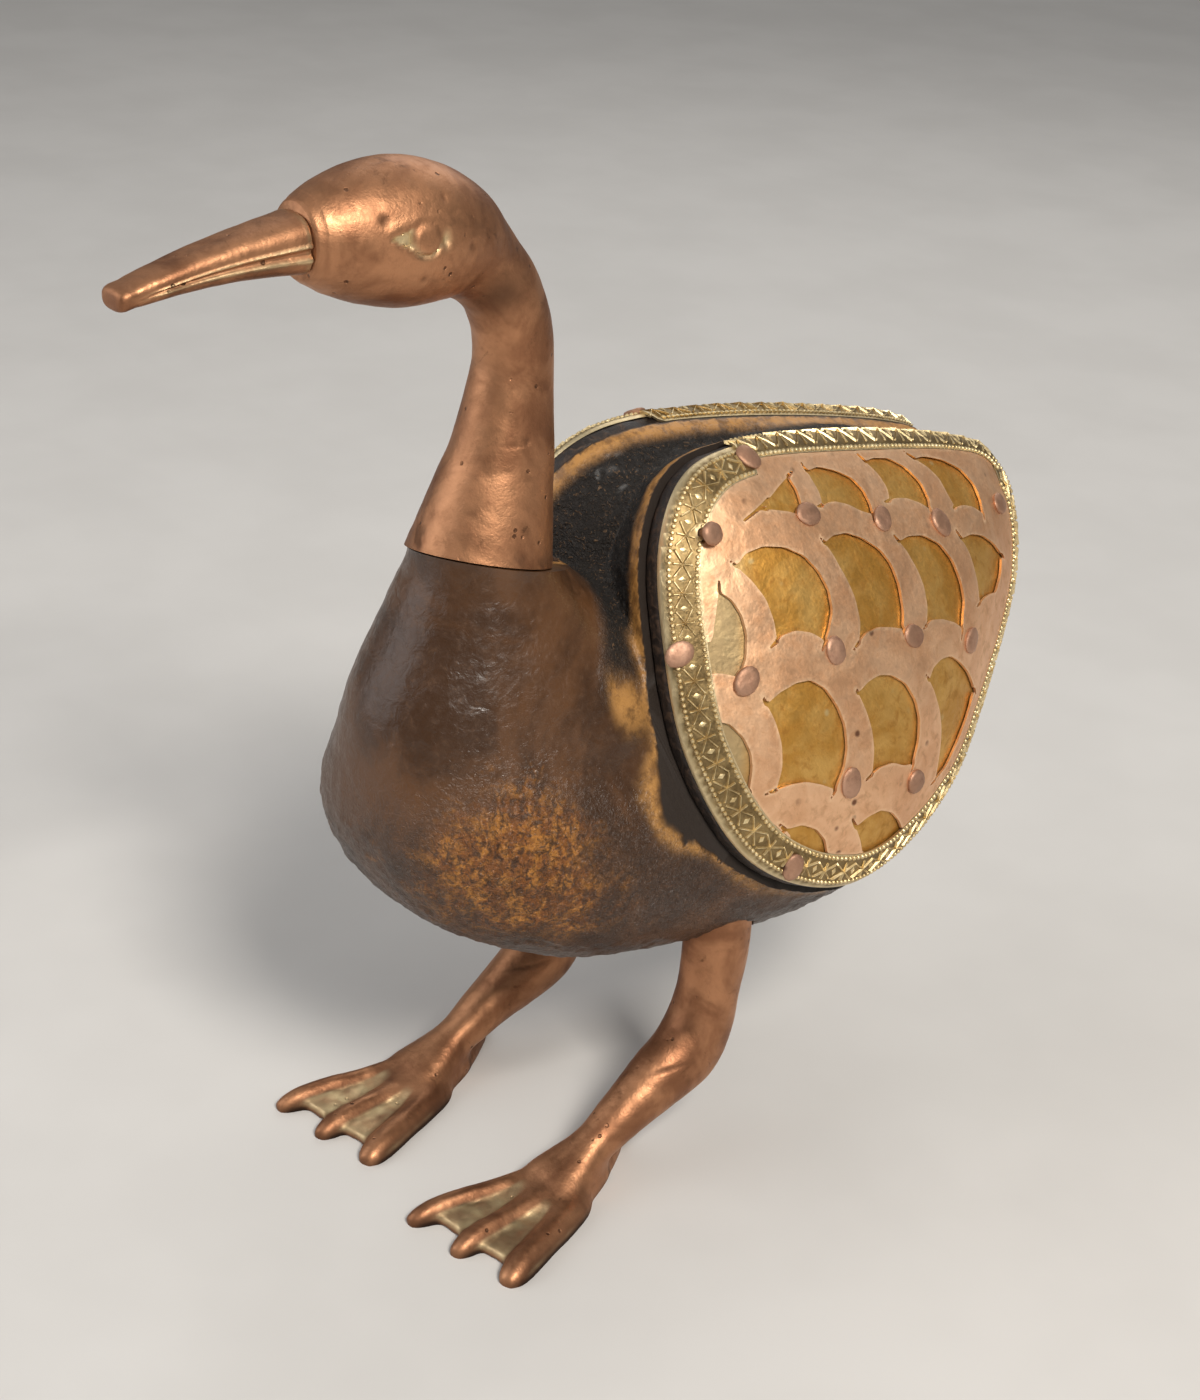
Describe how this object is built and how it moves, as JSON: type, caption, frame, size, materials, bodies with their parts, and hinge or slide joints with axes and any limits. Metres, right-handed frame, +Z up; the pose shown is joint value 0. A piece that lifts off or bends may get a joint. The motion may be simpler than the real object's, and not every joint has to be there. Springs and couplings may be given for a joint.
{
  "type": "duck figurine",
  "caption": "Standing duck box of dark wood with cast copper-alloy head, beak and legs; its two metal-covered wing lids swing down to open carved compartments.",
  "frame": {"origin": "on the floor, under the middle of the figurine's bounding box", "axes": "+Z up, +Y from the beak towards the tail, +X to the duck's left; the duck looks along -Y"},
  "size_m": [0.0886, 0.2024, 0.1999],
  "materials": {
    "body_wood": "dark lacquered wood, worn golden brown low on the breast",
    "wing_wood": "blackened wood",
    "cast_copper": "cast copper alloy, brown patina, softly polished",
    "copper_sheet": "sawn copper sheet, satin",
    "brass_sheet": "thin brass sheet, dull yellow with tarnish",
    "pressed_strip": "thin pressed strip with beads and stars, worn",
    "nail_copper": "hand-made nails, brown copper"
  },
  "bodies": {
    "duck": {"body": "body_wood", "neck_dowel": "cast_copper", "head_and_neck": "cast_copper", "beak": "cast_copper", "left_leg": "cast_copper", "right_leg": "cast_copper", "left_pivot_pin": "nail_copper", "right_pivot_pin": "nail_copper"},
    "left_wing": {"left_wing_core": "wing_wood", "left_wing_sheet": "brass_sheet", "left_wing_lattice": "copper_sheet", "left_wing_border": "pressed_strip", "left_wing_top_strip": "pressed_strip", "left_wing_nail_01": "nail_copper", "left_wing_nail_02": "nail_copper", "left_wing_nail_03": "nail_copper", "left_wing_nail_04": "nail_copper", "left_wing_nail_05": "nail_copper", "left_wing_nail_06": "nail_copper", "left_wing_nail_07": "nail_copper", "left_wing_nail_08": "nail_copper", "left_wing_nail_09": "nail_copper", "left_wing_nail_10": "nail_copper", "left_wing_nail_11": "nail_copper", "left_wing_nail_12": "nail_copper", "left_wing_nail_13": "nail_copper"},
    "right_wing": {"right_wing_core": "wing_wood", "right_wing_sheet": "brass_sheet", "right_wing_lattice": "copper_sheet", "right_wing_border": "pressed_strip", "right_wing_top_strip": "pressed_strip", "right_wing_nail_01": "nail_copper", "right_wing_nail_02": "nail_copper", "right_wing_nail_03": "nail_copper", "right_wing_nail_04": "nail_copper", "right_wing_nail_05": "nail_copper", "right_wing_nail_06": "nail_copper", "right_wing_nail_07": "nail_copper", "right_wing_nail_08": "nail_copper", "right_wing_nail_09": "nail_copper", "right_wing_nail_10": "nail_copper", "right_wing_nail_11": "nail_copper", "right_wing_nail_12": "nail_copper", "right_wing_nail_13": "nail_copper"}
  },
  "joints": [
    {"name": "left_wing_pivot", "type": "hinge", "parent": "duck", "child": "left_wing", "pos_m": [0.01264, 0.00348, 0.12597], "axis": [-0.9245, -0.0923, -0.3698], "range_deg": [0, 75]},
    {"name": "right_wing_pivot", "type": "hinge", "parent": "duck", "child": "right_wing", "pos_m": [-0.01264, -0.00044, 0.12675], "axis": [-0.9245, 0.0923, 0.3698], "range_deg": [0, 75]}
  ]
}
